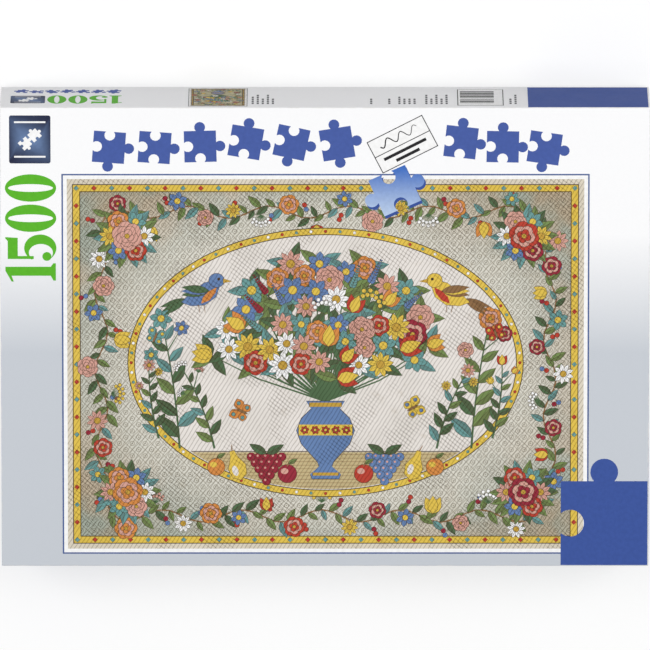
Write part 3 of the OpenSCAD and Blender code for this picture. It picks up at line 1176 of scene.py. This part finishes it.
def on_wall(right, half, from_x=0.0, from_y=0.0):
    """Print coordinates of a wall of the lid: right is the way its print runs, half its distance."""
    across = Vector(right)
    outward = across.cross(Vector((0, 0, 1)))

    def place(x, y, height):
        up = Vector((0, 0, (from_y + y) * MM))
        return across * ((from_x + x) * MM) + outward * (half - INK_DEPTH + height) + up
    return place


def corner_outline():
    """A large plain corner piece in the face's lower right corner."""
    size, edge = 50.0, 0.6
    piece = jigsaw_outline(size, size, (0, 1, -1, 0), 8.0, 5.4, 20)
    return moved(piece, LID_HIGH.x / MM - size / 2 - edge, -LID_HIGH.y / MM + size / 2 + edge)


def loose_piece_shapes():
    """A tilted piece that overlaps the picture's upper edge, with its cut edge in shade."""
    size, turn, fade_above, fade_h = 23.0, 0.42, 12, 26
    x, y = LOOSE_MIDDLE

    def tint(_, py):
        return blend(LOOSE_DEEP, LOOSE_PALE, min(max((y + fade_above - py) / fade_h, 0.0), 1.0))

    piece = moved(jigsaw_outline(size, size, (1, -1, 1, -1), 4.0, 2.8, 16), x, y, turn)
    return [(moved(piece, 0.9, -1.5), LOOSE_SHADE), (piece, tint)]


def tag_shapes():
    """A tilted white tag with a thin outline, a wave above its middle line and two bars below it."""
    line, half_bar = 0.5, 0.9
    plate = Plate(1)
    plate.fill(centred(*TAG_SIZE), BAR_BLACK)
    plate.fill(centred(*TAG_SIZE, line), WHITE)
    plate.fill(centred(TAG_SIZE[0], line), BAR_BLACK)
    wave = [(0.5 * i, 5.1 + 2.2 * math.sin(0.375 * i)) for i in range(-24, 25)]
    plate.stroke(wave, 0.8, BAR_BLACK)
    for level, reach in ((-3.4, 13.5), (-7.0, 7.5)):
        plate.fill(rectangle(-reach, level - half_bar, reach, level + half_bar), BAR_BLACK)
    return placed(plate.shapes, *TAG_MIDDLE, TAG_TURN)


def face_print(ink, plate_ink):
    def frame_box(by):
        return moved(centred(*PICTURE_SIZE, -by), *PICTURE_MIDDLE)

    corner, loose = corner_outline(), loose_piece_shapes()
    covers = [(corner, None), (loose[0][0], None), (loose[1][0], None)]
    mat = [(frame_box(MAT_W + FRAME_LINE_W), FRAME_BLUE), (frame_box(MAT_W), WHITE), (frame_box(0), None)]
    picture = placed(picture_shapes(), *PICTURE_MIDDLE)
    number = placed(number_shapes(GREEN_INK), *NUMBER_FOOT, math.pi / 2, NUMBER_H / DIGIT_H)
    flat_print("print_picture_frame", mat + covers, on_face, ink)
    flat_print("print_picture", picture + covers, on_face, plate_ink, True)
    flat_print("print_loose_piece", loose, on_face, ink)
    flat_print("print_tag", tag_shapes() + covers[1:], on_face, ink)
    flat_print("print_corner_piece", [(corner, BLOCK_BLUE)], on_face, ink)
    flat_print("print_number", number, on_face, ink)
    flat_print("print_badge", badge_shapes(*BADGE_MIDDLE, *BADGE_SIZE), on_face, ink)


def piece_row(draw, start, end, count, y, size):
    """A loose row of plain puzzle pieces, each with a knob towards the next one's socket."""
    shapes = []
    for i in range(count):
        x = start + (end - start) * (i + 0.5) / count
        sides = (1, draw.choice((-1, 1)), -1, draw.choice((-1, 1)))
        piece = jigsaw_outline(size, size, sides, 0.17 * size, 0.115 * size)
        lift = 0.11 * size * draw.uniform(-1, 1)
        shapes.append((moved(piece, x, y + lift, draw.uniform(-0.35, 0.35)), BLUE_INK))
    return shapes


def title_print(ink):
    """Two rows of plain puzzle pieces along the top of the face."""
    draw = random.Random(4)
    shapes = []
    for start, end, count in TITLE_ROWS:
        shapes += piece_row(draw, start, end, count, TITLE_Y, TITLE_PIECE)
    flat_print("print_title_pieces", shapes, on_face, ink)


def dash_columns(draw, x, columns):
    """Columns of short plain dashes up a wall."""
    dash, gap, top, pitch, half_w = 3.4, 1.4, 46.0, 2.9, 0.6
    shapes = []
    for column in range(columns):
        middle = x - pitch * column
        for row in range(draw.randint(3, 5)):
            high = top - (dash + gap) * row
            shapes.append((rectangle(middle - half_w, high - dash, middle + half_w, high), DASH_GREY))
    return shapes


def bar_box(draw, x):
    """A thin box with plain bars of different widths along it."""
    width, low, high, line = 26.5, 10.5, 49.5, 0.5
    step, bars_from, bars_to, least, most = 1.25, 5.5, 25.0, 15.0, 47.0
    shapes = [(rectangle(x, low, x + width, high), BAR_BLACK),
              (rectangle(x + line, low + line, x + width - line, high - line), WHITE)]
    level = least
    while level < most - 3 * step:
        thick = step * draw.choice((1, 2, 3))
        shapes.append((rectangle(x + bars_from, level, x + bars_to, level + thick), BAR_BLACK))
        level += thick + step * draw.choice((1, 1, 2))
    return shapes


def wall_print(name, right, half, span, ink):
    """Number, badge, small pieces, bars, dashes and blue end block on one wall of the lid."""
    edge, near, far = 1.0, -span / 2, span / 2
    low, high = LID_LOW.z / MM + edge, LID_TOP / MM - edge
    print_from, print_to = far - 70, far - 8
    number_y, number_w = 25, 43
    badge_middle, badge_size = (far - 15.8, 35), (19.8, 18)
    pieces, pieces_y, piece_size = 7, 15.5, 6.4
    bars_from = near + 84
    # Where each block of dashes starts, and its columns
    dashes = [(far - 145, 5), (near + 80, 2)]
    if span > LONG_WALL:
        dashes += [(-26.5, 1), (-36.9, 1), (-42.7, 4), (-58.2, 5)]
    draw = random.Random(9)
    shapes = placed(number_shapes(GREEN_INK), print_from, number_y, 0, number_w / NUMBER_W)
    shapes += badge_shapes(*badge_middle, *badge_size)
    shapes += piece_row(draw, print_from, print_to, pieces, pieces_y, piece_size)
    shapes += [(rectangle(near + edge, low, near + END_BLOCK_W, high), BLOCK_BLUE)]
    shapes += bar_box(draw, bars_from)
    for x, columns in dashes:
        shapes += dash_columns(draw, x, columns)
    flat_print("print_" + name, shapes, on_wall(right, half), ink)


def thumbnail_layer():
    line, mat = 1.2, 0.9
    shapes = [(centred(*THUMBNAIL_SIZE, -by), colour) for by, colour in ((line, BAR_BLACK), (mat, WHITE))]
    return ink_layer(shapes + thumbnail_shapes(*THUMBNAIL_SIZE))


def walls_print(ink, small_ink):
    small_picture = thumbnail_layer()
    length, width = 2 * LID_HIGH.x / MM, 2 * LID_HIGH.y / MM
    for name, right, half, span in (("back", (-1, 0, 0), LID_HIGH.y, length),
                                    ("front", (1, 0, 0), LID_HIGH.y, length),
                                    ("right", (0, 1, 0), LID_HIGH.x, width),
                                    ("left", (0, -1, 0), LID_HIGH.x, width)):
        wall_print(name, right, half, span, ink)
        place = on_wall(right, half, span / 2 - THUMBNAIL_FROM_END, THUMBNAIL_Z)
        lay_ink("print_thumbnail_" + name, small_picture, place, small_ink, True)


# Bag and pieces

def bag_crown(x, y):
    """How far the bag's top stands above its edges at a place."""
    bulge = min(1 - (x / BAG_HALF.x) ** 2, 1 - (y / BAG_HALF.y) ** 2)
    return 0.9 * (BAG_HIGH.z - BAG_LOW.z - BAG_EDGE_H) * max(bulge, 0.0)


def bag_profile():
    """Rings of the bag's pillow before it is crowned: underside, side and top."""
    low, soft = BAG_LOW.z, BAG_SOFT
    top = low + BAG_EDGE_H
    profile = [(inset, low) for inset in (70 * MM, 30 * MM, soft)]
    profile += arc(soft, low + soft, soft, 270, 180)[1:]
    profile += [(0.0, low + BAG_EDGE_H * share) for share in (0.4, 0.5, 0.6)]
    profile += arc(soft, top - soft, soft, 180, 90, 5)
    across = BAG_HALF.y - soft - 4 * MM
    profile += [(soft + across * share, top) for share in (0.06, 0.14, 0.24, 0.36, 0.5, 0.64, 0.8, 1.0)]
    return profile


def bag(material):
    """Pillow of clear film: crowned, wrinkled and rounded, with a flat seal across each end."""
    low, longest, wrinkle_down, wrinkle_in = BAG_LOW.z, 20 * MM, 0.8 * MM, 0.7 * MM
    mesh = loft("bag", BAG_HALF.x, BAG_HALF.y, bag_profile(), BAG_CORNER_R, 22)
    work = bmesh.new()
    work.from_mesh(mesh)
    long_edges = [edge for edge in work.edges if edge.calc_length() > longest]
    bmesh.ops.subdivide_edges(work, edges=long_edges, cuts=14)
    bmesh.ops.triangulate(work, faces=[face for face in work.faces if len(face.verts) > 4])
    for vert in work.verts:
        x, y, z = vert.co
        up = min(max(z - low, 0.0) / BAG_EDGE_H, 1.0)
        broad = noise.noise(Vector((x * 60, y * 22, z * 40)))
        fine = noise.noise(Vector((x * 130, y * 160, 7.0)))
        fold = 1 + max(min(broad + 0.6 * fine, 1.0), -1.0)
        vert.co.z += bag_crown(x, y) * up ** 2 - wrinkle_down * fold * up
        if z > low + BAG_SOFT:
            vert.co.x -= wrinkle_in * fold * (1 if x > 0 else -1)
            vert.co.y -= wrinkle_in * fold * (1 if y > 0 else -1)
    work.to_mesh(mesh)
    work.free()
    shade_by_angle(mesh, 60)
    made = make_object("bag", mesh, [material], "bag")
    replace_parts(made, "bag_film")
    for name, side in (("bag_seal_left", -1), ("bag_seal_right", 1)):
        seal(name, side, material)


def seal(name, side, material):
    """Strip across an end of the bag, with crimped ridges along it."""
    columns, rows, ridge_columns = 20, 120, 4
    ridge_h, wave_h = 0.16 * MM, 1.1 * MM
    start, length = BAG_HALF.x - 1.5 * MM, BAG_SEAL + 1.2 * MM
    height = BAG_LOW.z + BAG_EDGE_H / 2
    work = bmesh.new()

    def sheet(lift):
        grid = []
        for i in range(columns + 1):
            x = side * (start + length * i / columns)
            crimp = ridge_h * math.sin(2 * math.pi * i / ridge_columns)
            line = []
            for j in range(rows + 1):
                y = 0.985 * BAG_HALF.y * (2 * j / rows - 1)
                wave = wave_h * noise.noise(Vector((x * 40, y * 30, 3.0))) * i / columns
                line.append(work.verts.new((x, y, height + wave + crimp + lift)))
            grid.append(line)
        return grid

    under, over = sheet(-SEAL_T / 2), sheet(SEAL_T / 2)
    for i in range(columns):
        for j in range(rows):
            work.faces.new((over[i][j], over[i + 1][j], over[i + 1][j + 1], over[i][j + 1]))
            work.faces.new((under[i][j], under[i][j + 1], under[i + 1][j + 1], under[i + 1][j]))
    around = [(i, 0) for i in range(columns)] + [(columns, j) for j in range(rows)]
    around += [(i, rows) for i in range(columns, 0, -1)] + [(0, j) for j in range(rows, 0, -1)]
    for (i, j), (k, l) in turns(around):
        work.faces.new((under[i][j], under[k][l], over[k][l], over[i][j]))
    mesh = closed_mesh(work, name)
    shade_by_angle(mesh, 60)
    make_object(name, mesh, [material], "bag")


def islands(work):
    """The separate pieces of a mesh, each as a list of faces."""
    seen, groups = set(), []
    for first in work.faces:
        if first in seen:
            continue
        seen.add(first)
        group, waiting = [], [first]
        while waiting:
            face = waiting.pop()
            group.append(face)
            for edge in face.edges:
                for other in edge.link_faces:
                    if other not in seen:
                        seen.add(other)
                        waiting.append(other)
        groups.append(group)
    return groups


def piece_box(upper, lower):
    """Middle, axes and half sizes of the box round a piece's body, from its two printed faces."""
    edge = max(upper.edges, key=lambda e: e.calc_length())
    normal = upper.normal.normalized()
    along = (edge.verts[1].co - edge.verts[0].co).normalized()
    across = normal.cross(along)
    middle = (upper.calc_center_median_weighted() + lower.calc_center_median_weighted()) / 2
    half = []
    for axis in (along, across):
        reach = [axis.dot(vert.co - middle) for vert in upper.verts]
        half.append((max(reach) - min(reach)) / 2 - KNOB_SPARE)
    return middle, (along, across, normal), half + [PIECE_T / 2]


def thin_out(loop, limit):
    """The points of a closed loop at which it has turned by more than limit since the last one."""
    kept, turned = [], 0.0
    for i, point in enumerate(loop):
        turned += (point - loop[i - 1]).angle(loop[(i + 1) % len(loop)] - point)
        if turned > limit:
            kept.append(point)
            turned = 0.0
    return kept


def set_in(loop, normal, by):
    """The loop moved inwards in its plane."""
    moved_in = []
    for i, point in enumerate(loop):
        before = (point - loop[i - 1]).normalized()
        after = (loop[(i + 1) % len(loop)] - point).normalized()
        inward = normal.cross(before) + normal.cross(after)
        share = max(inward.length_squared / 2, 0.5)
        moved_in.append(point + inward * (by / share))
    return moved_in


class PieceHeap:
    """Die-cut pieces with pressed rims, gathered into one mesh."""

    def __init__(self):
        self.points, self.faces, self.prints = [], [], []

    def add(self, loop, normal, print_up):
        """Adds a piece under the outline of its upper face."""
        inner = set_in(loop, normal, 0.8 * PIECE_RIM)
        rings = [[p - normal * PIECE_T for p in inner], [p - normal * (PIECE_T - PIECE_RIM) for p in loop],
                 [p - normal * PIECE_RIM for p in loop], inner]
        start, count = len(self.points), len(loop)
        for ring in rings:
            self.points += ring
        numbers = [list(range(start + count * r, start + count * (r + 1))) for r in range(len(rings))]
        # Material 0 is the print and 1 the back; the print wraps over its own rim
        self.faces += [numbers[0][::-1], numbers[-1]]
        self.prints += [1, 0] if print_up else [0, 1]
        for r, (low, high) in enumerate(zip(numbers, numbers[1:])):
            self.faces += ring_faces(low, high)
            printed = r == (2 if print_up else 0)
            self.prints += [0 if printed else 1] * count

    def finish(self, name, materials):
        mesh = bpy.data.meshes.new(name)
        mesh.from_pydata(self.points, [], self.faces)
        mesh.polygons.foreach_set("material_index", self.prints)
        shade_by_angle(mesh, 50)
        return make_object(name, mesh, materials, "bag")


def detailed_pieces(node, materials, seed):
    """A node's pieces with pressed, rounded rims, some with the print up and some with it down."""
    draw = random.Random(seed)
    work = bmesh.new()
    work.from_mesh(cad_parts[node].data)
    bmesh.ops.remove_doubles(work, verts=work.verts, dist=1e-6)
    bmesh.ops.dissolve_limit(work, angle_limit=math.radians(1), verts=work.verts, edges=work.edges)
    heap, boxes = PieceHeap(), []
    for piece in islands(work):
        caps = sorted(piece, key=lambda face: face.calc_area())[-2:]
        caps.sort(key=lambda face: -face.normal.z)
        boxes.append(piece_box(*caps))
        loop = thin_out([vert.co.copy() for vert in caps[0].verts], math.radians(20))
        heap.add(loop, caps[0].normal.normalized(), draw.random() < PRINT_UP_SHARE)
    work.free()
    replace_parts(heap.finish(node + "_cut", materials), node)
    return boxes


def bag_room(x, y):
    """Lowest and highest a piece may reach in the bag at a place."""
    spare, floor = 2.4 * MM, 0.4 * MM
    edge = min(BAG_HALF.x - abs(x), BAG_HALF.y - abs(y))
    if edge < spare:
        return 1.0, 0.0
    round_off = BAG_SOFT - math.sqrt(max(BAG_SOFT ** 2 - max(BAG_SOFT - edge, 0.0) ** 2, 0.0))
    return BAG_LOW.z + floor + round_off, BAG_LOW.z + BAG_EDGE_H + bag_crown(x, y) - round_off - spare


def boxes_meet(middle, axes, half, middles, all_axes, halves):
    """Whether a box may meet any of the others, tried on the faces of both."""
    turned = np.abs(np.einsum("ik,njk->nij", axes, all_axes))
    apart = middles - middle
    on_own = np.abs(apart @ axes.T) > half + np.einsum("nij,nj->ni", turned, halves)
    reach = halves + np.einsum("nij,i->nj", turned, half)
    on_other = np.abs(np.einsum("njk,nk->nj", all_axes, apart)) > reach
    return not np.all(on_own.any(1) | on_other.any(1))


def loose_places(boxes):
    """Places for more pieces in the gaps of the heap, each clear of those round it."""
    tilt, shift, lift, near_by = 0.05, 18, (2.1, 4.2), 34 * MM
    draw = random.Random(21)
    most = len(boxes) + FILL_MOST
    middles, axes, halves = np.zeros((most, 3)), np.zeros((most, 3, 3)), np.zeros((most, 3))
    for i, (middle, way, half) in enumerate(boxes):
        middles[i], axes[i], halves[i] = middle, way, half
    own = np.array((PIECE_LENGTH / 2 + 1 * MM, PIECE_WIDTH / 2 + 1 * MM, PIECE_T / 2 + 0.05 * MM))
    signs = np.array([(a, b, c) for a in (-1, 1) for b in (-1, 1) for c in (-1, 1)])
    count = len(boxes)
    for _ in range(FILL_TRIES):
        if count == most:
            break
        near = draw.randrange(count)
        u, v, n = axes[near]
        normal = n + draw.gauss(0, tilt) * u + draw.gauss(0, tilt) * v
        normal /= np.linalg.norm(normal)
        turn = draw.uniform(0, 2 * math.pi)
        along = math.cos(turn) * u + math.sin(turn) * v
        along -= normal * along.dot(normal)
        along /= np.linalg.norm(along)
        way = np.array((along, np.cross(normal, along), normal))
        middle = middles[near] + draw.uniform(-shift, shift) * MM * u + draw.uniform(-shift, shift) * MM * v
        middle = middle + draw.choice((-1, 1)) * draw.uniform(*lift) * MM * n
        corners = middle + (signs * own) @ way
        if any(not bag_room(x, y)[0] < z < bag_room(x, y)[1] for x, y, z in corners):
            continue
        close = np.nonzero(((middles[:count] - middle) ** 2).sum(1) < near_by ** 2)[0]
        if boxes_meet(middle, way, own, middles[close], axes[close], halves[close]):
            continue
        middles[count], axes[count], halves[count] = middle, way, own
        count += 1
    return list(zip(middles, axes))[len(boxes):count]


def loose_pieces(boxes, materials):
    """More pieces between those of the solids, so that the heap is as full as the real one."""
    draw = random.Random(8)
    heap = PieceHeap()
    for middle, (along, across, normal) in loose_places(boxes):
        sides = [draw.choice((-1, 1)) for _ in range(4)]
        outline = jigsaw_outline(PIECE_LENGTH, PIECE_WIDTH, sides, PIECE_KNOB_R, PIECE_KNOB_REACH, 8)
        top = middle + normal * (PIECE_T / 2)
        loop = [Vector(top + x * along + y * across) for x, y in outline]
        heap.add(loop, Vector(normal), draw.random() < PRINT_UP_SHARE)
    heap.finish("loose_pieces", materials)


def all_pieces():
    materials = [piece_print_material(), piece_back_material()]
    nodes = [f"corner_piece_{n}" for n in range(1, 5)]
    nodes += ["edge_pieces", "inner_pieces_lower", "inner_pieces_middle", "inner_pieces_upper"]
    boxes = []
    for seed, node in enumerate(nodes):
        boxes += detailed_pieces(node, materials, seed)
    loose_pieces(boxes, materials)


def dress_nodes(names, material):
    for name in names:
        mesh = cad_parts[name].data
        mesh.materials.clear()
        mesh.materials.append(material)


# Stage, light and camera

def area_light(name, place, size, power):
    lamp = bpy.data.lights.new(name, "AREA")
    lamp.shape = "SQUARE"
    lamp.size = size
    lamp.energy = power
    made = bpy.data.objects.new(name, lamp)
    made.location = place
    made.rotation_euler = (-Vector(place)).to_track_quat("-Z", "Y").to_euler()
    bpy.context.scene.collection.objects.link(made)


def stage(material):
    size = 12.0
    mesh = bpy.data.meshes.new("stage_floor")
    mesh.from_pydata([(x, y, 0) for x, y in centred(size, size)], [], [(0, 1, 2, 3)])
    make_object("stage_floor", mesh, [material])


def world_light(level):
    world = bpy.data.worlds.new("studio")
    world.use_nodes = True
    bpy.context.scene.world = world
    background = world.node_tree.nodes["Background"]
    strength = seen_rays(world.node_tree) * (1.0 - level) + level
    strength.into(background, "Strength")
    background.inputs["Color"].default_value = PURE_WHITE


def camera():
    lens = bpy.data.cameras.new("camera")
    lens.sensor_width = 36.0
    lens.lens = lens.sensor_width * CAMERA_DISTANCE / FRAME_WIDTH
    lens.clip_end = 50.0
    made = bpy.data.objects.new("camera", lens)
    tilt = math.radians(CAMERA_ELEVATION)
    made.location = Vector(AIM) + CAMERA_DISTANCE * Vector((0, math.sin(tilt), math.cos(tilt)))
    made.rotation_euler = (-tilt, 0, 0)
    bpy.context.scene.collection.objects.link(made)
    bpy.context.scene.camera = made


def main():
    bpy.context.scene.view_settings.view_transform = "Standard"
    camera()
    stage(stage_material())
    world_light(ROOM_LEVEL)
    x, y, z = SOFTBOX_AT
    for name, side in (("softbox_left", -1), ("softbox_right", 1)):
        area_light(name, (side * x, y, z), SOFTBOX_SIZE, SOFTBOX_POWER)

    ink = ink_material("ink", 0.10)
    plate_ink = plate_material()
    small_ink = ink_material("small_ink", 0.40)
    lid_paper(lid_paper_material())
    face_print(ink, plate_ink)
    title_print(ink)
    walls_print(ink, small_ink)
    base_paper(base_paper_material())
    dress_nodes(("base_board", "lid_board"), greyboard_material())
    stays = [f"{part}_corner_stay_{n}" for part in ("base", "lid") for n in range(1, 5)]
    dress_nodes(stays, stay_tape_material())
    bag(film_material())
    all_pieces()


main()
